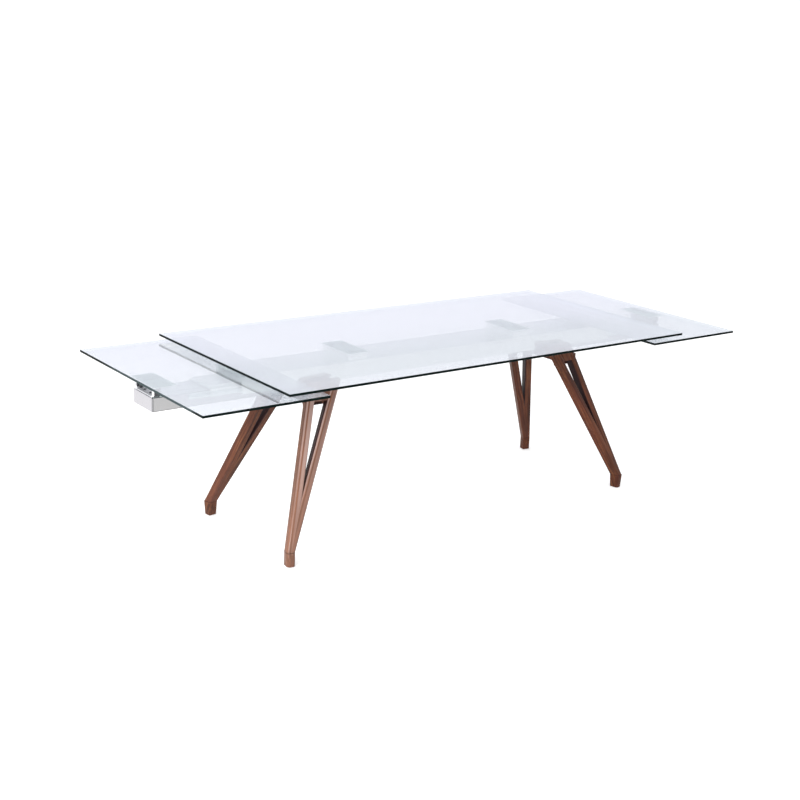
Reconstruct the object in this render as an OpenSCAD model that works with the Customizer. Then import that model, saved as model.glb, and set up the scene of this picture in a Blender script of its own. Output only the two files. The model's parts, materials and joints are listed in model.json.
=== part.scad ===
// Extendable glass dining table: a fixed glass top on a steel beam with four
// wishbone legs, and two lower glass leaves on telescopic carriages.
// X runs along the table, Y across it, Z up. The origin is on the floor, midway
// between the feet. Parts are drawn on the +X, +Y side and mirrored from there.

/* [Glass] */
// Length of the fixed top
top_length = 2000; // [1960:10:2040]
// Width of the top and of both leaves
top_width = 1000; // [800:10:1200]
// Height of the fixed top's upper face
table_height = 745; // [740:1:750]
// Thickness of every glass panel
glass_t = 10; // [8:1:10]
// Length of one leaf
leaf_length = 510; // [480:10:510]
// How far a leaf lies below the fixed top
leaf_drop = 27; // [25:1:28]
// Leaf pulled out past the top's end, as drawn
leaf_out = 340; // [330:1:340]

/* [Beam] */
// Length of the central beam
beam_length = 1920; // [1900:10:1920]
// Width of the beam over its side walls
beam_width = 200; // [200:1:202]
// Height of the beam
beam_height = 67; // [66:1:67]
// Wall of the beam
beam_wall = 4; // [3:1:4]
// Centre of each glass support along the beam
support_x = 430; // [400:10:430]

/* [Carriage] */
// Width of the sliding box
box_width = 150; // [148:1:150]
// Height of the sliding box
box_height = 53; // [52:1:53]
// Length of the sliding box
box_length = 790; // [785:1:790]
// Wall of the sliding box
box_wall = 2.5; // [2:0.5:3]

/* [Legs] */
// Distance of each foot from the middle, along the table
foot_x = 869; // [850:1:880]
// Distance of each foot from the middle, across the table
foot_y = 312.5; // [300:0.5:320]
// Height where the upright foot turns into the leaning limbs
ankle_z = 60; // [50:1:70]
// Width of one limb
limb_width = 34; // [32:1:36]
// Depth of one limb
limb_depth = 38; // [36:1:40]

/* [Hidden] */
$fn = 48;

wood = "#7d4b36";
steel = "#d3d8da";
zinc = "#a9aeb2";
dark_steel = "#4a4a4e";
clear_glass = [0.86, 0.92, 0.97, 0.45];
nylon = "#e9e9e4";
rubber = "#2b2b2b";

// Heights of the stack, from the fixed top downwards
top_under_z = table_height - glass_t;
leaf_under_z = table_height - leaf_drop - glass_t;
beam_top_z = leaf_under_z - 5;
beam_under_z = beam_top_z - beam_height;
beam_roof_z = beam_top_z - beam_wall;
box_under_z = beam_under_z - 24;
box_top_z = box_under_z + box_height;

// Ends along X
beam_end_x = beam_length / 2;
leaf_outer_x = top_length / 2 + leaf_out;
leaf_inner_x = leaf_outer_x - leaf_length;
box_outer_x = leaf_outer_x - 24;
box_inner_x = box_outer_x - box_length;
cap_t = 3;

// Glass supports
support_plate_t = 6;
support_block = [90, 180];
support_plate = [96, 200];
support_screw_at = [30, 70];

// Leaf bracket and the plate bonded under the leaf
leaf_plate_t = 3.5;
leaf_plate = [90, 190];
bracket_bar = 32;
bracket_t = 5;
bracket_inset = 3;
bracket_r = 12;
bracket_h = leaf_under_z - leaf_plate_t - box_top_z;
bracket_x = box_outer_x - bracket_inset - bracket_bar;
post_r = 5;
post_y = 56;
bracket_back_t = 3;
bracket_screw_y = 24;

// Notch that lets the bracket into the closed beam
notch_depth = 35;
notch_half_w = 77;
end_plate_t = 4;
end_plate_z = beam_roof_z - 17;

// Telescopic rails, drawn on the +Y side of the box
rail_mid_z = box_top_z - 14;
rail_t = 1.8;
fixed_rail_x = [250, 950];
middle_rail_x = [485, 1085];
carriage_rail_x = [530, 1170];
outer_cage_x = [530, 905];
inner_cage_x = [580, 1040];
bridge_x = [785, 1085];
fixed_wall_y = beam_width / 2 - beam_wall;
fixed_half_h = 13.5;
middle_half_h = 7.7;
tongue_half_h = 1.8;
middle_web_y = fixed_wall_y - 2.6;
ball_count = 8;
outer_ball_r = 1.9;
inner_ball_r = 1.95;
stud_r = 2.4;
stud_count = 4;

// Legs: the two limbs share the ankle and spread towards the beam
leg_splay = -9;
limb_rise = 600;
limb_lean_run = 219;
outer_limb_run = -173;
inner_limb_run = -274;
limb_edge_r = 12;
limb_back_r = 2;
lean = atan(limb_lean_run / limb_rise);
lean_length = limb_rise / cos(lean);
slot_top_z = 581;
head_top_z = 655;
web_inset = 3;
arm_x = [604, 712];
arm_top_z = box_under_z - 4;
arm_step_y = box_width / 2 + 3;
arm_fillet_r = 24;
glide_t = 3;
glide_r = 10;
mount_plate = [100, 22, 4];
mount_plate_y = arm_step_y + mount_plate[1] / 2;
bolt_x = [629, 687];
bolt_y = 88;
bolt_r = 4;
bolt_head_r = 6.5;
bolt_head_h = 6;
tie_plate = [70, 150, 3];
tie_x = (arm_x[0] + arm_x[1]) / 2;
tie_screw_at = [24, 55];
tie_screw_r = 2.5;

module on_left() mirror([1, 0, 0]) children();

module each_end() {
    children();
    mirror([1, 0, 0]) children();
}

module each_side() {
    children();
    mirror([0, 1, 0]) children();
}

// Range that reaches half to either side of mid
function about(mid, half) = [mid - half, mid + half];

// Box given by its two corners
module span(low, high) translate(low) cube(high - low);

// Rectangle centred on the origin, with round corners
module rounded_rect(w, h, r) {
    square([w - 2 * r, h], center = true);
    square([w, h - 2 * r], center = true);
    for (x = [-1, 1], y = [-1, 1])
        translate([x * (w / 2 - r), y * (h / 2 - r)]) circle(r);
}

// ---- glass ----
module glass_panel(x_low, x_high, z_low) color(clear_glass)
    span([x_low, -top_width / 2, z_low], [x_high, top_width / 2, z_low + glass_t]);

module main_glass() glass_panel(-top_length / 2, top_length / 2, top_under_z);

module leaf_glass() glass_panel(leaf_inner_x, leaf_outer_x, leaf_under_z);

// ---- beam and what is fixed to it ----
module stud_places() {
    pitch = (fixed_rail_x[1] - fixed_rail_x[0] - 100) / (stud_count - 1);
    each_end() each_side() for (i = [0 : stud_count - 1])
        translate([fixed_rail_x[0] + 50 + i * pitch, fixed_wall_y - rail_t + 0.1, rail_mid_z])
            rotate([-90, 0, 0]) children();
}

module support_screw_places() {
    for (side = [-1, 1], x = [-1, 1], y = [-1, 1])
        translate([
            side * support_x + x * support_screw_at[0],
            y * support_screw_at[1],
            beam_roof_z
        ]) children();
}

module central_beam() color(steel) difference() {
    span([-beam_end_x, -beam_width / 2, beam_under_z], [beam_end_x, beam_width / 2, beam_top_z]);
    span([-beam_end_x - 1, -fixed_wall_y, beam_under_z - 1], [beam_end_x + 1, fixed_wall_y, beam_roof_z]);
    each_end() span(
        [beam_end_x - notch_depth, -notch_half_w, beam_roof_z - 1],
        [beam_end_x + 1, notch_half_w, beam_top_z + 1]
    );
    support_screw_places() translate([0, 0, -1]) cylinder(r = 3.1, h = beam_wall + 2);
    stud_places() cylinder(r = stud_r, h = 4.2);
}

// Closes the beam's end around the notch, above the slides
module beam_end() color(steel) {
    z = [end_plate_z, beam_roof_z];
    back_x = beam_end_x - notch_depth - end_plate_t;
    span([back_x, -notch_half_w - end_plate_t, z[0]], [back_x + end_plate_t, notch_half_w + end_plate_t, z[1]]);
    each_side() {
        span([back_x, notch_half_w, z[0]], [beam_end_x, notch_half_w + end_plate_t, z[1]]);
        span([beam_end_x - end_plate_t, notch_half_w, z[0]], [beam_end_x, fixed_wall_y, z[1]]);
    }
}

module support_block() color(steel) difference() {
    span(
        [support_x - support_block[0] / 2, -support_block[1] / 2, beam_top_z],
        [support_x + support_block[0] / 2, support_block[1] / 2, top_under_z - support_plate_t]
    );
    support_screw_places() cylinder(r = 3.05, h = 21);
}

module support_plate() color(zinc)
    translate([support_x, 0, top_under_z - support_plate_t])
        linear_extrude(support_plate_t) rounded_rect(support_plate[0], support_plate[1], 6);

module support_screws() color(zinc) support_screw_places() {
    translate([0, 0, -3]) cylinder(r = 5.5, h = 3);
    cylinder(r = 3, h = 20);
}

module leaf_glide_pads() color(nylon) each_end() each_side()
    translate([leaf_inner_x + 22, 75, beam_top_z])
        linear_extrude(leaf_under_z - beam_top_z - 0.4) rounded_rect(24, 34, 5);

module stop_blocks() color(rubber) each_end()
    span(
        [box_inner_x - leaf_out - 12, -30, box_under_z + 25],
        [box_inner_x - leaf_out - 1, 30, beam_roof_z]
    );

// ---- telescopic slides ----
module slide_bar(x_range, y_range, z_range)
    span([x_range[0], y_range[0], z_range[0]], [x_range[1], y_range[1], z_range[1]]);

// Channel that lies on its side; web_y is the outer face of the web
module c_rail(x_range, web_y, lip_y, half_h) {
    slide_bar(x_range, [web_y - rail_t, web_y], about(rail_mid_z, half_h));
    for (level = [-1, 1])
        slide_bar(x_range, [lip_y, web_y], about(rail_mid_z + level * (half_h - rail_t / 2), rail_t / 2));
}

module fixed_rails() color(zinc) difference() {
    each_side() c_rail(fixed_rail_x, fixed_wall_y, fixed_wall_y - 10, fixed_half_h);
    stud_places() translate([0, 0, -1]) cylinder(r = stud_r, h = 4);
}

module rail_studs() color(zinc) stud_places() cylinder(r = stud_r, h = 4.2);

module middle_rails() color(zinc)
    each_side() c_rail(middle_rail_x, middle_web_y, middle_web_y - 12.4, middle_half_h);

// Joins the two middle rails over the top of the box
module middle_bridge() color(steel) {
    tab_y = [fixed_wall_y - 14.8, fixed_wall_y - 11.2];
    each_side() slide_bar(bridge_x, tab_y, [rail_mid_z + middle_half_h, box_top_z + 3]);
    slide_bar(bridge_x, [-tab_y[1], tab_y[1]], [box_top_z + 3, box_top_z + 5]);
    slide_bar(bridge_x, [-68, 68], [box_top_z + 5, box_top_z + 14]);
}

// Strip with its row of balls, above and below the rail's middle
module ball_cage(x_range, y, row_half_h, ball_r) {
    pitch = (x_range[1] - x_range[0] - 20) / (ball_count - 1);
    each_side() for (level = [-1, 1]) translate([0, y, rail_mid_z + level * row_half_h]) {
        span([x_range[0], -2, -0.4], [x_range[1], 2, 0.4]);
        for (i = [0 : ball_count - 1])
            translate([x_range[0] + 10 + i * pitch, 0, 0]) sphere(ball_r, $fn = 24);
    }
}

module outer_ball_cages() color(dark_steel)
    ball_cage(outer_cage_x, fixed_wall_y - 7, (fixed_half_h - rail_t + middle_half_h) / 2, outer_ball_r);

module inner_ball_cages() color(dark_steel)
    ball_cage(inner_cage_x, fixed_wall_y - 11.5, (middle_half_h - rail_t + tongue_half_h) / 2, inner_ball_r);

module carriage_rails() color(zinc) each_side() {
    side_y = box_width / 2;
    slide_bar(carriage_rail_x, [side_y, side_y + 2], about(rail_mid_z, 11));
    slide_bar(carriage_rail_x, [side_y, fixed_wall_y - 6], about(rail_mid_z, tongue_half_h));
}

// ---- sliding box and leaf bracket ----
module bracket_screw_places() {
    for (side = [-1, 1])
        translate([bracket_x + bracket_bar / 2, side * bracket_screw_y, box_top_z]) children();
}

module carriage_box() color(steel) difference() {
    span([box_inner_x, -box_width / 2, box_under_z], [box_outer_x - cap_t, box_width / 2, box_top_z]);
    span(
        [box_inner_x - 1, -box_width / 2 + box_wall, box_under_z + box_wall],
        [box_outer_x, box_width / 2 - box_wall, box_top_z - box_wall]
    );
    bracket_screw_places() translate([0, 0, -box_wall - 1]) cylinder(r = 2.55, h = box_wall + 2);
}

module carriage_cap() color(steel) {
    span([box_outer_x - cap_t, -box_width / 2, box_under_z], [box_outer_x, box_width / 2, box_top_z]);
    gap = box_wall + 0.1;
    span(
        [box_outer_x - cap_t - 8, -box_width / 2 + gap, box_under_z + gap],
        [box_outer_x - cap_t, box_width / 2 - gap, box_top_z - gap]
    );
}

// Bent bar that carries the leaf: a closed frame with round corners and a back panel
module leaf_bracket() color(steel) difference() {
    frame_w = box_width - 2;
    translate([bracket_x, 0, box_top_z + bracket_h / 2]) rotate([90, 0, 90]) {
        linear_extrude(bracket_back_t) rounded_rect(frame_w, bracket_h, bracket_r);
        linear_extrude(bracket_bar) difference() {
            rounded_rect(frame_w, bracket_h, bracket_r);
            rounded_rect(frame_w - 2 * bracket_t, bracket_h - 2 * bracket_t, bracket_r - bracket_t);
        }
    }
    bracket_screw_places() translate([0, 0, -1]) cylinder(r = 2.55, h = bracket_t + 2);
}

module bracket_posts() color(dark_steel) each_side()
    translate([bracket_x + bracket_bar / 2, post_y, box_top_z + bracket_t])
        cylinder(r = post_r, h = bracket_h - 2 * bracket_t);

module bracket_screws() color(dark_steel) bracket_screw_places() {
    translate([0, 0, -12]) cylinder(r = 2.5, h = 12 + bracket_t);
    translate([0, 0, bracket_t]) cylinder(r = 4.5, h = 3);
}

module leaf_plate() color(zinc)
    translate([box_outer_x - leaf_plate[0] / 2, 0, leaf_under_z - leaf_plate_t])
        linear_extrude(leaf_plate_t) rounded_rect(leaf_plate[0], leaf_plate[1], 4);

// ---- legs ----
// Section of a limb: flat towards the middle of the table, rounded outside
module limb_section(grow = 0) {
    w = limb_width / 2 + grow;
    d = limb_depth / 2 + grow;
    outer_r = limb_edge_r + grow;
    back_r = limb_back_r + grow;
    translate([-w, -d + back_r]) square([2 * w, 2 * d - outer_r - back_r]);
    translate([-w + outer_r, 0]) square([2 * w - 2 * outer_r, d]);
    translate([-w + back_r, -d]) square([2 * w - 2 * back_r, d]);
    for (side = [-1, 1]) {
        translate([side * (w - outer_r), d - outer_r]) circle(outer_r);
        translate([side * (w - back_r), -d + back_r]) circle(back_r);
    }
}

// Frame of the leaning plane: origin at the ankle, X along the spread
module leaning_plane() translate([foot_x, foot_y, ankle_z]) rotate([0, 0, leg_splay])
    rotate([lean, 0, 0]) children();

module limb(run, grow = 0) leaning_plane()
    rotate([0, asin(run / norm([run, lean_length])), 0])
        translate([0, 0, -40]) linear_extrude(760) limb_section(grow);

module limbs(grow = 0) {
    limb(outer_limb_run, grow);
    limb(inner_limb_run, grow);
}

// Keeps what lies between two heights
module between_heights(low, high) intersection() {
    children();
    span([200, -50, low], [1200, 600, high]);
}

module foot() hull($fn = 32) {
    between_heights(ankle_z - 1, ankle_z) limbs(0.4);
    translate([foot_x, foot_y, glide_t]) rotate([0, 0, leg_splay]) linear_extrude(1)
        limb_section();
}

// Solid head that closes the slot between the limbs
module head_web() leaning_plane() rotate([90, 0, 0]) {
    low = (slot_top_z - ankle_z) / cos(lean);
    high = 700;
    spread = [outer_limb_run, inner_limb_run] / lean_length;
    translate([0, 0, -limb_depth / 2 + web_inset]) linear_extrude(limb_depth - 2 * web_inset)
        polygon([
            [spread[0] * low, low], [spread[0] * high, high],
            [spread[1] * high, high], [spread[1] * low, low]
        ]);
}

// Arm under the sliding box, with a shoulder under the beam's side wall
module arm() {
    reach_y = 150;
    span([arm_x[0], 0.2, slot_top_z], [arm_x[1], reach_y, arm_top_z]);
    span(
        [arm_x[0], arm_step_y, slot_top_z],
        [arm_x[1], beam_width / 2 + 12, beam_under_z - mount_plate[2]]
    );
    // concave fillet between the arm's underside and the limbs
    translate([arm_x[0] + 4, 124, slot_top_z]) rotate([90, 0, 90]) linear_extrude(96)
        difference() {
            translate([-arm_fillet_r, -arm_fillet_r]) square(arm_fillet_r + 0.5);
            translate([-arm_fillet_r, -arm_fillet_r]) circle(arm_fillet_r);
        }
}

module bolt_places() {
    for (x = bolt_x) translate([x, bolt_y, slot_top_z]) children();
}

module tie_screw_places() {
    for (x = [-1, 1])
        translate([tie_x + x * tie_screw_at[0], tie_screw_at[1], slot_top_z]) children();
}

module leg() color(wood) difference() {
    union() {
        foot();
        between_heights(ankle_z, head_top_z) {
            limbs();
            between_heights(slot_top_z, head_top_z) head_web();
        }
        arm();
    }
    // seat for the beam's side wall and its mounting plate
    span([400, -20, beam_under_z - mount_plate[2]], [900, beam_width / 2 + 0.1, head_top_z + 1]);
    // room under the sliding box
    span([400, -20, arm_top_z], [900, arm_step_y, head_top_z + 1]);
    span([400, -20, slot_top_z - 60], [900, 0.2, head_top_z]);
    bolt_places() {
        translate([0, 0, -1]) cylinder(r = bolt_head_r + 0.5, h = bolt_head_h + 3);
        cylinder(r = bolt_r + 0.4, h = 60);
    }
    tie_screw_places() translate([0, 0, -1]) cylinder(r = tie_screw_r + 0.05, h = 18);
}

module leg_mount_plates() color(zinc) each_end() each_side() difference() {
    translate([tie_x, mount_plate_y, beam_under_z - mount_plate[2] / 2])
        cube(mount_plate, center = true);
    bolt_places() cylinder(r = bolt_r + 0.05, h = 80);
}

module leg_bolts() color(dark_steel) each_end() each_side() bolt_places() {
    translate([0, 0, 2]) cylinder(r = bolt_head_r, h = bolt_head_h);
    translate([0, 0, 2]) cylinder(r = bolt_r, h = beam_under_z - slot_top_z - 2);
}

module tie_plate() color(zinc) difference() {
    translate([tie_x, 0, slot_top_z - tie_plate[2]]) linear_extrude(tie_plate[2])
        rounded_rect(tie_plate[0], tie_plate[1], 5);
    each_side() tie_screw_places()
        translate([0, 0, -tie_plate[2] - 1]) cylinder(r = tie_screw_r + 0.05, h = tie_plate[2] + 2);
}

module tie_screws() color(dark_steel) each_end() each_side() tie_screw_places() {
    translate([0, 0, -tie_plate[2] - 2.5]) cylinder(r = 4.5, h = 2.5);
    translate([0, 0, -tie_plate[2]]) cylinder(r = tie_screw_r, h = tie_plate[2] + 16);
}

module foot_glides() color(nylon) each_end() each_side()
    translate([foot_x, foot_y, 0]) cylinder(r = glide_r, h = glide_t);

main_glass();
on_left() leaf_glass();  // left_leaf_glass
leaf_glass();  // right_leaf_glass
central_beam();
on_left() beam_end();  // left_beam_end
beam_end();  // right_beam_end
on_left() support_block();  // left_support_block
support_block();  // right_support_block
on_left() support_plate();  // left_support_plate
support_plate();  // right_support_plate
support_screws();
on_left() mirror([0, 1, 0]) leg();  // front_left_leg
mirror([0, 1, 0]) leg();  // front_right_leg
on_left() leg();  // back_left_leg
leg();  // back_right_leg
leg_mount_plates();
leg_bolts();
on_left() tie_plate();  // left_tie_plate
tie_plate();  // right_tie_plate
tie_screws();
foot_glides();
leaf_glide_pads();
stop_blocks();
on_left() fixed_rails();  // left_fixed_rails
fixed_rails();  // right_fixed_rails
rail_studs();
on_left() outer_ball_cages();  // left_outer_ball_cages
outer_ball_cages();  // right_outer_ball_cages
on_left() middle_rails();  // left_middle_rails
middle_rails();  // right_middle_rails
on_left() middle_bridge();  // left_middle_bridge
middle_bridge();  // right_middle_bridge
on_left() inner_ball_cages();  // left_inner_ball_cages
inner_ball_cages();  // right_inner_ball_cages
on_left() carriage_rails();  // left_carriage_rails
carriage_rails();  // right_carriage_rails
on_left() carriage_box();  // left_carriage_box
carriage_box();  // right_carriage_box
on_left() carriage_cap();  // left_carriage_cap
carriage_cap();  // right_carriage_cap
on_left() leaf_bracket();  // left_leaf_bracket
leaf_bracket();  // right_leaf_bracket
on_left() bracket_posts();  // left_bracket_posts
bracket_posts();  // right_bracket_posts
on_left() bracket_screws();  // left_bracket_screws
bracket_screws();  // right_bracket_screws
on_left() leaf_plate();  // left_leaf_plate
leaf_plate();  // right_leaf_plate
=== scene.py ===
import json
import math

import bpy
from mathutils import Matrix, Vector


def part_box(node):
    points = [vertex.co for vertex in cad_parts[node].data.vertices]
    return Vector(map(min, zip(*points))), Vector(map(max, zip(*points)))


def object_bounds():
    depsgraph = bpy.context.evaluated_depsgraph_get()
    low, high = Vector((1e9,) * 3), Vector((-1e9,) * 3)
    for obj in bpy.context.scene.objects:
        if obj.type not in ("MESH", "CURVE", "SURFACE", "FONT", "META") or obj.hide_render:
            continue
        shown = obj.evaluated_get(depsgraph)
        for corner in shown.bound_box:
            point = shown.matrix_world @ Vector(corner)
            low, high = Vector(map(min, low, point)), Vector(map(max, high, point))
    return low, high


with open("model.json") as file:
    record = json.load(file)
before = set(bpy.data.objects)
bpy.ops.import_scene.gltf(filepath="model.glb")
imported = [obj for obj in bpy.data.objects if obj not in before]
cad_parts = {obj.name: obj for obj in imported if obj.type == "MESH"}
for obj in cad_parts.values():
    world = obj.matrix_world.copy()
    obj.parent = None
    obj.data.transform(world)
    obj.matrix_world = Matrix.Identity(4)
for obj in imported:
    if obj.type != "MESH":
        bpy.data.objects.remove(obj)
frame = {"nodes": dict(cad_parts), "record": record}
cad_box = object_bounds()
NODES = frame["nodes"]

# ---- shapes of the legs, as in the CAD source (metres and radians) ----
ANKLE = (0.869, 0.3125, 0.060)
LEG_SPLAY = math.radians(-9.0)
LIMB_RISE = 0.600
LEG_LEAN = math.atan(0.219 / LIMB_RISE)
LEAN_LENGTH = LIMB_RISE / math.cos(LEG_LEAN)
OUTER_SLOPE = 0.173 / LEAN_LENGTH
INNER_SLOPE = 0.274 / LEAN_LENGTH
SLOT_TOP = (0.581 - ANKLE[2]) / math.cos(LEG_LEAN)
SLOT_BOTTOM = 0.150
LIMB_HALF_WIDTH = 0.017
LIMB_HALF_DEPTH = 0.019

# ---- places taken from the frame ----
LEAF_TOP_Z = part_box("left_leaf_glass")[1].z
BRACKET_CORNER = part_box("right_leaf_bracket")[1]

# ---- glass: its milky look at a low angle, and the mirror share of one face seen straight on ----
HAZE = 0.27
HAZE_COLOUR = (0.72, 0.74, 0.80)
FACE_MIRROR = 0.04

# ---- scale of the fine brushing on metal ----
BRUSH_SCALE = 900.0


# ---- node helpers ----
class Tree:
    """The node tree of a material or a world, with short calls for the nodes used here."""

    def __init__(self, owner, output="ShaderNodeOutputMaterial"):
        owner.use_nodes = True
        self.owner = owner
        self.tree = owner.node_tree
        self.tree.nodes.clear()
        self.out = self.tree.nodes.new(output)

    def node(self, kind, **props):
        n = self.tree.nodes.new(kind)
        for key, value in props.items():
            setattr(n, key, value)
        return n

    def link(self, source, target):
        self.tree.links.new(source, target)

    def feed(self, socket, value):
        """Links a socket, or sets a plain value on it."""
        if isinstance(value, bpy.types.NodeSocket):
            self.link(value, socket)
        else:
            socket.default_value = value

    def math(self, operation, *values):
        n = self.node("ShaderNodeMath", operation=operation)
        for socket, value in zip(n.inputs, values):
            self.feed(socket, value)
        return n.outputs[0]

    def size_of(self, value):
        return self.math("ABSOLUTE", value)

    def both(self, a, b):
        return self.math("MULTIPLY", a, b)

    def above(self, value, limit):
        return self.math("GREATER_THAN", value, limit)

    def below(self, value, limit):
        return self.math("LESS_THAN", value, limit)

    def coords(self):
        return self.node("ShaderNodeTexCoord").outputs["Object"]

    def normal(self):
        return self.split(self.node("ShaderNodeNewGeometry").outputs["True Normal"])

    def light_path(self, output):
        return self.node("ShaderNodeLightPath").outputs[output]

    def split(self, vector):
        n = self.node("ShaderNodeSeparateXYZ")
        self.link(vector, n.inputs[0])
        return n.outputs[0], n.outputs[1], n.outputs[2]

    def join(self, x, y, z):
        n = self.node("ShaderNodeCombineXYZ")
        for socket, value in zip(n.inputs, (x, y, z)):
            self.feed(socket, value)
        return n.outputs[0]

    def scaled(self, vector, factors):
        n = self.node("ShaderNodeVectorMath", operation="MULTIPLY")
        self.link(vector, n.inputs[0])
        n.inputs[1].default_value = factors
        return n.outputs[0]

    def shifted(self, vector, offset):
        n = self.node("ShaderNodeVectorMath", operation="ADD")
        self.link(vector, n.inputs[0])
        self.feed(n.inputs[1], offset)
        return n.outputs[0]

    def noise(self, vector, scale, detail=3.0, roughness=0.55):
        n = self.node("ShaderNodeTexNoise")
        self.link(vector, n.inputs["Vector"])
        n.inputs["Scale"].default_value = scale
        n.inputs["Detail"].default_value = detail
        n.inputs["Roughness"].default_value = roughness
        return n.outputs["Fac"]

    def span(self, value, low, high, to_low=0.0, to_high=1.0):
        n = self.node("ShaderNodeMapRange", interpolation_type="SMOOTHSTEP")
        self.feed(n.inputs["Value"], value)
        limits = {"From Min": low, "From Max": high, "To Min": to_low, "To Max": to_high}
        for key, number in limits.items():
            n.inputs[key].default_value = number
        return n.outputs["Result"]

    def ramp(self, value, stops):
        n = self.node("ShaderNodeValToRGB")
        self.feed(n.inputs[0], value)
        elements = n.color_ramp.elements
        while len(elements) < len(stops):
            elements.new(0.5)
        for element, (place, colour) in zip(elements, stops):
            element.position = place
            element.color = (*colour, 1.0)
        return n.outputs[0]

    def mix(self, factor, a, b, blend="MIX"):
        n = self.node("ShaderNodeMix", data_type="RGBA", blend_type=blend)
        factor_in, colour_a, colour_b = n.inputs[0], n.inputs[6], n.inputs[7]
        self.feed(factor_in, factor)
        for socket, value in ((colour_a, a), (colour_b, b)):
            self.feed(socket, value if isinstance(value, bpy.types.NodeSocket) else (*value, 1.0))
        return n.outputs[2]

    def bump(self, height, strength, distance):
        n = self.node("ShaderNodeBump")
        n.inputs["Strength"].default_value = strength
        n.inputs["Distance"].default_value = distance
        self.link(height, n.inputs["Height"])
        return n.outputs[0]

    def principled(self, **values):
        """A Principled shader whose inputs are named like keywords, such as base_color or coat_weight."""
        n = self.node("ShaderNodeBsdfPrincipled")
        for key, value in values.items():
            self.feed(n.inputs[key.replace("_", " ").title().replace("Ior", "IOR")], value)
        return n.outputs[0]

    def transparent(self, colour):
        n = self.node("ShaderNodeBsdfTransparent")
        n.inputs["Color"].default_value = (*colour, 1.0)
        return n.outputs[0]

    def shader_mix(self, factor, a, b):
        n = self.node("ShaderNodeMixShader")
        self.feed(n.inputs[0], factor)
        self.link(a, n.inputs[1])
        self.link(b, n.inputs[2])
        return n.outputs[0]

    def done(self, shader):
        self.link(shader, self.out.inputs[0])
        return self.owner


def new_material(name):
    return Tree(bpy.data.materials.new(name))


# ---- materials ----
def glass_face(t):
    """Clear from above; at a low angle it mirrors like two panes' faces and turns milky."""
    grazing = t.node("ShaderNodeLayerWeight")
    grazing.inputs["Blend"].default_value = 0.5
    facing = grazing.outputs["Facing"]
    one_face = t.math("MULTIPLY_ADD", t.math("POWER", facing, 5.0), 1.0 - FACE_MIRROR, FACE_MIRROR)
    mirror_share = t.math("DIVIDE", t.math("MULTIPLY", one_face, 2.0), t.math("ADD", one_face, 1.0))

    smears = t.noise(t.coords(), 6.0)
    mirror = t.node("ShaderNodeBsdfGlossy")
    mirror.inputs["Color"].default_value = (1.0, 1.0, 1.0, 1.0)
    t.link(t.span(smears, 0.35, 0.75, 0.0, 0.012), mirror.inputs["Roughness"])
    film = t.node("ShaderNodeBsdfDiffuse")
    lighter = tuple(c * 1.02 for c in HAZE_COLOUR)
    t.link(t.ramp(smears, [(0.3, HAZE_COLOUR), (0.7, lighter)]), film.inputs["Color"])
    clear = t.transparent((0.880, 0.898, 0.908))
    body = t.shader_mix(t.span(facing, 0.25, 0.65, 0.0, HAZE), clear, film.outputs[0])
    return t.shader_mix(mirror_share, body, mirror.outputs[0])


def glass_edge(t):
    """Dark green cut edge, with painted light along part of a leaf's end, and pale where other glass lies
    in front.
    """
    x, y, z = t.split(t.coords())
    normal_x, normal_y, normal_z = t.normal()
    streaks = t.noise(t.join(x, y, t.math("MULTIPLY", z, 0.2)), 55.0)
    colour = t.ramp(streaks, [(0.3, (0.0005, 0.003, 0.003)), (0.7, (0.002, 0.008, 0.007))])
    # painted light: part of each leaf's end edge gets a lighter colour, as if lit
    leaf_end = t.both(t.below(z, LEAF_TOP_Z + 0.007), t.above(t.size_of(normal_x), 0.5))
    painted_light_part = t.both(t.span(y, 0.15, 0.30, 1.0, 0.0), t.span(y, -0.46, -0.40))
    colour = t.mix(t.both(leaf_end, painted_light_part), colour, (0.034, 0.050, 0.053))
    dark = t.principled(
        base_color=colour,
        roughness=t.span(streaks, 0.3, 0.7, 0.12, 0.2),
        ior=1.52,
        specular_ior_level=0.05,
    )
    behind_glass = t.above(t.light_path("Transparent Depth"), 0.5)
    return t.shader_mix(behind_glass, dark, t.transparent((0.74, 0.79, 0.80)))


def glass():
    """Clear float glass with dark green cut edges."""
    t = new_material("clear_glass")
    flat = t.above(t.size_of(t.normal()[2]), 0.5)
    return t.done(t.shader_mix(flat, glass_edge(t), glass_face(t)))


def leg_coords(t):
    """Places on a leg, measured from a limb's axis: sideways, outwards and along the lean.

    The last value is 1 on the outer limb and 0 on the inner one.
    """
    mirrored = t.node("ShaderNodeVectorMath", operation="ABSOLUTE")
    t.link(t.coords(), mirrored.inputs[0])
    to_leg = t.node("ShaderNodeMapping", vector_type="TEXTURE")
    to_leg.inputs["Location"].default_value = ANKLE
    to_leg.inputs["Rotation"].default_value = (LEG_LEAN, 0.0, LEG_SPLAY)
    t.link(mirrored.outputs[0], to_leg.inputs[0])
    across, depth, along = t.split(to_leg.outputs[0])

    middle = (OUTER_SLOPE + INNER_SLOPE) / 2
    is_outer = t.above(t.math("MULTIPLY_ADD", along, middle, across), 0.0)
    slope = t.math("MULTIPLY_ADD", is_outer, OUTER_SLOPE - INNER_SLOPE, INNER_SLOPE)
    lateral = t.math("ADD", across, t.math("MULTIPLY", slope, t.math("MAXIMUM", along, 0.0)))
    return lateral, depth, along, is_outer


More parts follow.
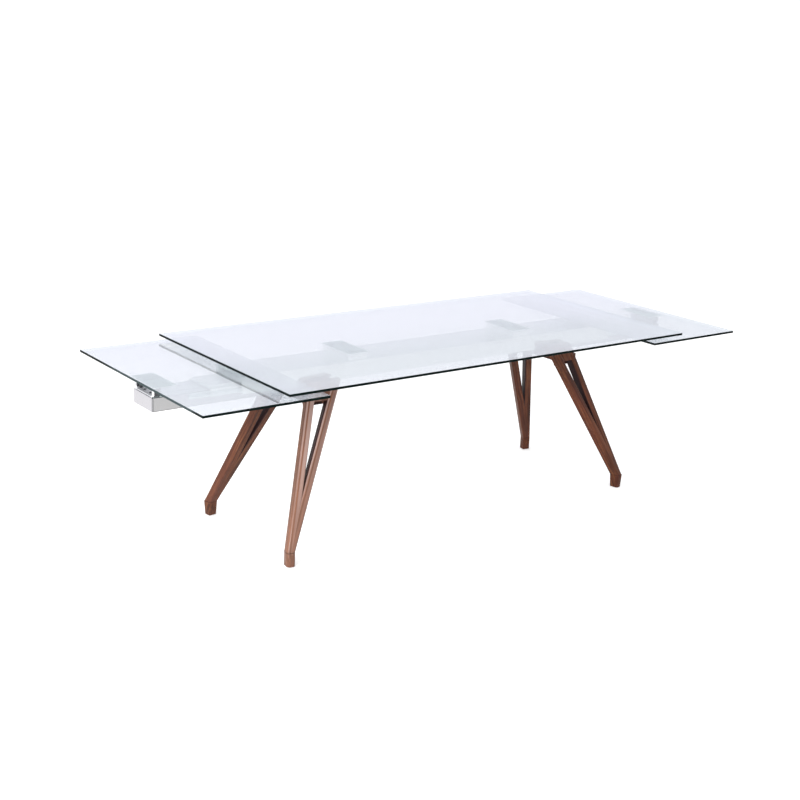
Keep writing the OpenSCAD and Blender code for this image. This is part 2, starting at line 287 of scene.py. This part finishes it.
def wood_grain(t, lateral, depth, along, is_outer, seed):
    """Walnut's colour, broad bands, fine streaks and pores; each limb and the foot has its own grain."""
    above_ankle = t.above(along, 0.0)
    piece = t.math("ADD", t.math("MULTIPLY", is_outer, 3.7), t.math("MULTIPLY", above_ankle, 1.9))
    place = t.join(lateral, depth, along)
    place = t.shifted(place, t.join(seed, t.math("ADD", piece, seed * 1.7), seed * 0.6))
    sway = t.noise(t.scaled(place, (1.0, 1.0, 0.6)), 7.0, detail=2.0)
    waved = t.shifted(place, t.join(t.math("MULTIPLY", sway, 0.02), t.math("MULTIPLY", sway, 0.012), 0.0))

    bands = t.noise(t.scaled(waved, (1.0, 1.0, 0.045)), 95.0, detail=3.5, roughness=0.6)
    streaks = t.noise(t.scaled(waved, (1.0, 1.0, 0.02)), 420.0, roughness=0.6)
    tone = t.noise(t.scaled(place, (1.0, 1.0, 0.25)), 11.0, detail=2.0)
    pores = t.noise(t.scaled(place, (1.0, 1.0, 0.035)), 1300.0, detail=1.0)
    pore = t.span(pores, 0.60, 0.72)

    colour = t.ramp(bands, [
        (0.26, (0.030, 0.009, 0.005)),
        (0.42, (0.078, 0.022, 0.010)),
        (0.52, (0.145, 0.048, 0.021)),
        (0.64, (0.255, 0.090, 0.036)),
        (0.82, (0.390, 0.165, 0.072)),
    ])
    colour = t.mix(t.span(streaks, 0.42, 0.66, 0.0, 0.55), colour, (0.075, 0.026, 0.017))
    colour = t.mix(t.span(tone, 0.35, 0.68, 0.0, 0.38), colour, (0.235, 0.070, 0.042))
    colour = t.mix(t.math("MULTIPLY", pore, 0.6), colour, (0.030, 0.012, 0.009))
    return colour, bands, streaks, pore


def walnut(name, seed, pale_and_sheen, dark):
    """Oiled walnut. The share of pale wood given for each leg is partly the wood's own tone and partly
    painted light, and it also sets how strong the painted highlight and sheen are; dark scales the colour,
    partly as painted shade.
    """
    t = new_material(name)
    lateral, depth, along, is_outer = leg_coords(t)
    colour, bands, streaks, pore = wood_grain(t, lateral, depth, along, is_outer, seed)
    # pale wood and darkening per leg: partly the wood's own tone, partly painted light and shade that
    # differ from leg to leg
    colour = t.mix(pale_and_sheen, colour, (0.36, 0.215, 0.160))
    colour = t.mix(1.0, colour, (dark, dark * 0.97, dark * 0.93), blend="MULTIPLY")

    # painted shade: the limbs' faces inside the slot are painted dark, where the other limb shades them
    inward = t.math("MULTIPLY", lateral, t.math("MULTIPLY_ADD", is_outer, -2.0, 1.0))
    above_bottom = t.span(along, SLOT_BOTTOM - 0.010, SLOT_BOTTOM + 0.010)
    below_top = t.span(along, SLOT_TOP - 0.004, SLOT_TOP, 1.0, 0.0)
    slot_painted_shade = t.span(inward, LIMB_HALF_WIDTH - 0.0020, LIMB_HALF_WIDTH - 0.0005)
    slot_painted_shade = t.both(slot_painted_shade, t.both(above_bottom, below_top))
    colour = t.mix(t.math("MULTIPLY", slot_painted_shade, 0.90), colour, (0.022, 0.010, 0.012))

    # painted highlight along the round corners that face outwards, stronger towards the top
    off_middle = t.size_of(lateral)
    past_flat = t.span(off_middle, LIMB_HALF_WIDTH - 0.0085, LIMB_HALF_WIDTH - 0.0050)
    short_of_side = t.span(off_middle, LIMB_HALF_WIDTH - 0.0025, LIMB_HALF_WIDTH - 0.0002, 1.0, 0.0)
    outwards = t.span(depth, LIMB_HALF_DEPTH - 0.0105, LIMB_HALF_DEPTH - 0.0060)
    corner = t.both(t.both(past_flat, short_of_side), outwards)
    painted_corner_highlight = t.both(corner, t.span(bands, 0.25, 0.75, pale_and_sheen * 2.2, pale_and_sheen * 3.4))
    painted_corner_highlight = t.both(painted_corner_highlight, t.span(along, 0.10, 0.50, 0.20, 1.0))
    colour = t.mix(painted_corner_highlight, colour, (0.46, 0.31, 0.27))

    # a painted sheen on the face that looks outwards, strongest on the outer limb, and paler wood near the
    # foot
    front_face = t.span(depth, LIMB_HALF_DEPTH - 0.0040, LIMB_HALF_DEPTH - 0.0012)
    front_face = t.both(front_face, t.span(along, 0.05, 0.30, 0.45, 1.0))
    front_face = t.both(front_face, t.span(lateral, 0.001, 0.006, 1.0, 0.0))
    sheen = t.math("MULTIPLY", t.math("MULTIPLY_ADD", is_outer, 1.5, 0.9), pale_and_sheen)
    colour = t.mix(t.both(front_face, sheen), colour, (0.46, 0.32, 0.28))
    colour = t.mix(t.span(along, 0.03, 0.40, pale_and_sheen * 0.6, 0.0), colour, (0.37, 0.20, 0.135))

    # the joint between the foot and the limbs
    height_above = t.split(t.coords())[2]
    seam = t.math("COMPARE", height_above, ANKLE[2], 0.0014)
    colour = t.mix(t.math("MULTIPLY", seam, 0.55), colour, (0.030, 0.011, 0.008))

    height = t.math("SUBTRACT", t.math("MULTIPLY", streaks, 0.35), pore)
    shader = t.principled(
        base_color=colour,
        roughness=t.span(streaks, 0.3, 0.7, 0.34, 0.48),
        coat_weight=0.3,
        coat_roughness=0.26,
        specular_ior_level=0.05,
        normal=t.bump(height, 0.35, 0.0003),
    )
    return t.done(shader)


def steel(name, colour, rough, brush, tint=0.06, top=None):
    """Metal with fine brushing, scaled by brush in x, y and z; top is a painted lighter colour for its
    upper faces, where the light falls.
    """
    t = new_material(name)
    lines = t.noise(t.scaled(t.coords(), brush), BRUSH_SCALE, roughness=0.6)
    patches = t.noise(t.coords(), 14.0)
    dark = tuple(c * (1 - tint) for c in colour)
    between = tuple(c * (1 - tint / 2) for c in colour)
    base = t.mix(t.span(lines, 0.35, 0.65), dark, colour)
    base = t.mix(t.span(patches, 0.35, 0.7, 0.0, 0.5), base, between)
    # painted light: faces that look up get the lighter top colour
    if top:
        base = t.mix(t.above(t.normal()[2], 0.9), base, top)
    brushed = t.span(lines, 0.3, 0.7, rough * 0.75, rough * 1.25)
    shader = t.principled(
        base_color=base,
        metallic=1.0,
        roughness=t.math("ADD", brushed, t.span(patches, 0.3, 0.7, 0.0, rough * 0.3)),
        normal=t.bump(lines, 0.12, 0.0002),
    )
    return t.done(shader)


def bracket_steel():
    """The bent leaf bracket: a grey brushed panel, with painted shade on the sides and painted light on the
    front rims of the two uprights.
    """
    t = new_material("bracket_steel")
    x, y, z = t.split(t.coords())
    lines = t.noise(t.scaled(t.coords(), (1.0, 1.0, 0.05)), BRUSH_SCALE)
    panel = t.ramp(lines, [(0.3, (0.44, 0.445, 0.47)), (0.7, (0.57, 0.575, 0.60))])
    # painted shade: faces that look along y are painted dark
    side = t.above(t.size_of(t.normal()[1]), 0.6)
    base = t.mix(side, panel, (0.045, 0.046, 0.052))
    # painted light: a bright rim along the front edge of each upright
    at_front = t.span(t.size_of(x), BRACKET_CORNER.x - 0.0070, BRACKET_CORNER.x - 0.0055)
    on_upright = t.span(t.size_of(y), BRACKET_CORNER.y - 0.017, BRACKET_CORNER.y - 0.014)
    base = t.mix(t.both(at_front, on_upright), base, (0.90, 0.90, 0.92))
    shader = t.principled(
        base_color=base,
        metallic=0.35,
        roughness=t.span(lines, 0.3, 0.7, 0.26, 0.36),
        normal=t.bump(lines, 0.12, 0.0002),
    )
    return t.done(shader)


def coating(name, colour, rough, grain, metallic=0.0, strength=0.15):
    """Paint, rubber or plastic with a fine grained skin."""
    t = new_material(name)
    fine = t.noise(t.coords(), grain)
    broad = t.noise(t.coords(), grain / 40, detail=2.0)
    darker = tuple(c * 0.85 for c in colour)
    lighter = tuple(min(1.0, c * 1.1) for c in colour)
    shader = t.principled(
        base_color=t.mix(t.span(broad, 0.3, 0.7), darker, lighter),
        metallic=metallic,
        roughness=t.span(fine, 0.3, 0.7, rough * 0.85, min(1.0, rough * 1.15)),
        normal=t.bump(fine, strength, 0.0002),
    )
    return t.done(shader)


UPRIGHT_BRUSH = (1.0, 1.0, 0.02)
LONG_BRUSH = (0.05, 1.0, 1.0)
MATERIALS = {
    "clear_glass": glass(),
    "polished_steel": steel("polished_steel", (0.93, 1.0, 0.94), 0.13, UPRIGHT_BRUSH),
    "bracket_steel": bracket_steel(),
    "cap_steel": steel("cap_steel", (0.80, 0.79, 0.83), 0.16, UPRIGHT_BRUSH, tint=0.09),
    # dark steel for the painted shade on the edges of the sliding box and its cap
    "edge_steel": steel("edge_steel", (0.16, 0.165, 0.17), 0.30, UPRIGHT_BRUSH, tint=0.15),
    # the sliding box's steel, with painted light on its upper faces
    "satin_steel": steel(
        "satin_steel", (0.53, 0.53, 0.535), 0.20, UPRIGHT_BRUSH, tint=0.10, top=(0.82, 0.88, 0.87)
    ),
    "plated_steel": steel("plated_steel", (0.78, 0.88, 0.84), 0.30, LONG_BRUSH, tint=0.12),
    "dark_steel": coating("dark_steel", (0.055, 0.057, 0.062), 0.38, 1500.0, metallic=0.6),
    "nylon": coating("nylon", (0.72, 0.72, 0.68), 0.45, 900.0),
    "rubber": coating("rubber", (0.02, 0.02, 0.02), 0.75, 1200.0, strength=0.3),
}
# each leg's seed, share of pale wood (partly painted light, and the strength of the painted highlight and
# sheen), and how dark it is (partly painted shade)
LEG_WOOD = {
    "front_left_leg": (0.0, 0.26, 0.80),
    "front_right_leg": (5.3, 0.0, 0.70),
    "back_left_leg": (11.1, 0.06, 0.70),
    "back_right_leg": (17.9, 0.0, 0.72),
}
OWN_STEEL = {
    "carriage_box": "satin_steel",
    "carriage_cap": "cap_steel",
    "leaf_bracket": "bracket_steel",
}
SLOT_OF = {part["node"]: part["material_slot"] for part in frame["record"]["subparts"]}


def material_of(node):
    """The material of a CAD node: a leg's own walnut, a steel of its own, or that of its slot."""
    if node in LEG_WOOD:
        return walnut(f"walnut_{node}", *LEG_WOOD[node])
    for ending, steel_name in OWN_STEEL.items():
        if node.endswith(ending):
            return MATERIALS[steel_name]
    return MATERIALS[SLOT_OF[node]]


# ---- softened edges on the CAD solids ----
EDGE_WIDTH = {
    "clear_glass": 0.0006,
    "walnut": 0.0016,
    "polished_steel": 0.0010,
    "plated_steel": 0.0004,
    "dark_steel": 0.0005,
    "nylon": 0.0004,
    "rubber": 0.0008,
}
# box and cap whose rounded edges get painted shade as dark lines
DARK_EDGED = ("carriage_box", "carriage_cap")
DARK_EDGE_WIDTH = 0.0022


def soften_edges(node, ob):
    """Rounds the sharp edges a little; the sliding box and its cap show theirs as dark lines: painted shade
    on the rounded edges, and a dark joint where box and cap meet.
    """
    weld = ob.modifiers.new("weld", "WELD")
    weld.merge_threshold = 0.00001
    bevel = ob.modifiers.new("edges", "BEVEL")
    bevel.width = EDGE_WIDTH[SLOT_OF[node]]
    bevel.segments = 2
    bevel.limit_method = "ANGLE"
    bevel.angle_limit = math.radians(40)
    bevel.harden_normals = True
    if node.endswith(DARK_EDGED):
        ob.data.materials.append(MATERIALS["edge_steel"])
        bevel.material = 1
        bevel.width = DARK_EDGE_WIDTH


for node, ob in NODES.items():
    ob.data.materials.clear()
    ob.data.materials.append(material_of(node))
    soften_edges(node, ob)

# ---- studio: floor, light, camera ----
FLOOR_HALF = 60.0
FLOOR_GLOW = 0.42
HORIZON = (1.10, 1.10, 1.10)
WALL_LOW = (0.92, 0.925, 1.04)
WALL_HIGH = (0.86, 0.885, 0.96)
CEILING = (1.50, 1.50, 1.52)
FILL_SIDE = (-0.85, -0.15, 0.5)
FILL_DARK = (0.20, 0.20, 0.21)
FILL_BRIGHT = (1.25, 1.24, 1.23)
CAMERA_PLACE = (-3.3654, -4.2604, 2.0444)
CAMERA_YAW, CAMERA_PITCH, CAMERA_ROLL = 0.64765, 0.28614, 0.04262
CAMERA_LENS = 59.816


def floor_paper():
    """White studio paper, which the camera sees a little brighter than it lights the table."""
    t = new_material("floor_paint")
    patches = t.noise(t.coords(), 1.5, detail=4.0)
    paint = t.ramp(patches, [(0.3, (0.92, 0.92, 0.92)), (0.7, (0.94, 0.94, 0.94))])
    paper = t.principled(base_color=paint, roughness=0.9, specular_ior_level=0.1)
    glow = t.node("ShaderNodeEmission")
    t.link(paint, glow.inputs["Color"])
    t.link(t.math("MULTIPLY", t.light_path("Is Camera Ray"), FLOOR_GLOW), glow.inputs["Strength"])
    lit = t.node("ShaderNodeAddShader")
    t.link(paper, lit.inputs[0])
    t.link(glow.outputs[0], lit.inputs[1])
    return t.done(lit.outputs[0])


def studio_floor():
    """A wide pale floor, just under the feet."""
    z = cad_box[0].z - 0.0005
    corners = [(x * FLOOR_HALF, y * FLOOR_HALF, z) for x, y in ((-1, -1), (1, -1), (1, 1), (-1, 1))]
    mesh = bpy.data.meshes.new("studio_floor")
    mesh.from_pydata(corners, [], [(0, 1, 2, 3)])
    mesh.materials.append(floor_paper())
    floor = bpy.data.objects.new("studio_floor", mesh)
    bpy.context.scene.collection.objects.link(floor)


def studio_world():
    """Pale surroundings: white at the horizon, a cool wall, greyer higher up, and a bright ceiling.

    Matt surfaces are lit more from the left than from the right.
    """
    world = bpy.data.worlds.new("studio")
    bpy.context.scene.world = world
    t = Tree(world, "ShaderNodeOutputWorld")
    x, y, z = t.split(t.node("ShaderNodeTexCoord").outputs["Generated"])
    rise = t.math("DIVIDE", z, t.math("MAXIMUM", t.size_of(y), 0.2))
    wall = t.mix(t.span(rise, 0.29, 0.33), WALL_LOW, WALL_HIGH)
    around = t.mix(t.span(z, 0.04, 0.13), HORIZON, wall)
    seen = t.mix(t.span(z, 0.40, 0.65), around, CEILING)
    side = t.node("ShaderNodeVectorMath", operation="DOT_PRODUCT")
    t.link(t.join(x, y, z), side.inputs[0])
    side.inputs[1].default_value = FILL_SIDE
    lit = t.mix(t.span(side.outputs["Value"], -0.9, 0.9), FILL_DARK, FILL_BRIGHT)
    background = t.node("ShaderNodeBackground")
    t.link(t.mix(t.light_path("Is Diffuse Ray"), seen, lit), background.inputs[0])
    t.done(background.outputs[0])


def key_light():
    """A square lamp off the table's left end, which lights the front left leg most.

    The camera doesn't see the lamp itself.
    """
    place = Vector((-3.2, -1.6, 1.5))
    target = Vector((-0.8, -0.3, 0.35))
    data = bpy.data.lights.new("key", "AREA")
    data.shape = "RECTANGLE"
    data.size = data.size_y = 0.6
    data.energy = 70.0
    lamp = bpy.data.objects.new("key", data)
    bpy.context.scene.collection.objects.link(lamp)
    lamp.location = place
    lamp.rotation_euler = (target - place).to_track_quat("-Z", "Y").to_euler()
    lamp.visible_camera = False


def studio_camera():
    """A tripod camera off the front left corner, a little above the table and slightly tilted."""
    forward = Vector((
        math.sin(CAMERA_YAW) * math.cos(CAMERA_PITCH),
        math.cos(CAMERA_YAW) * math.cos(CAMERA_PITCH),
        -math.sin(CAMERA_PITCH),
    ))
    right = Vector((math.cos(CAMERA_YAW), -math.sin(CAMERA_YAW), 0.0))
    up = right.cross(forward)
    tilted_right = right * math.cos(CAMERA_ROLL) + up * math.sin(CAMERA_ROLL)
    tilted_up = up * math.cos(CAMERA_ROLL) - right * math.sin(CAMERA_ROLL)
    data = bpy.data.cameras.new("camera")
    data.sensor_width = 36.0
    data.lens = CAMERA_LENS
    data.clip_start, data.clip_end = 0.05, 200.0
    camera = bpy.data.objects.new("camera", data)
    bpy.context.scene.collection.objects.link(camera)
    axes = Matrix((tilted_right, tilted_up, -forward)).transposed().to_4x4()
    camera.matrix_world = Matrix.Translation(CAMERA_PLACE) @ axes
    bpy.context.scene.camera = camera


studio_floor()
studio_world()
studio_camera()
key_light()
bpy.context.scene.view_settings.view_transform = "Standard"
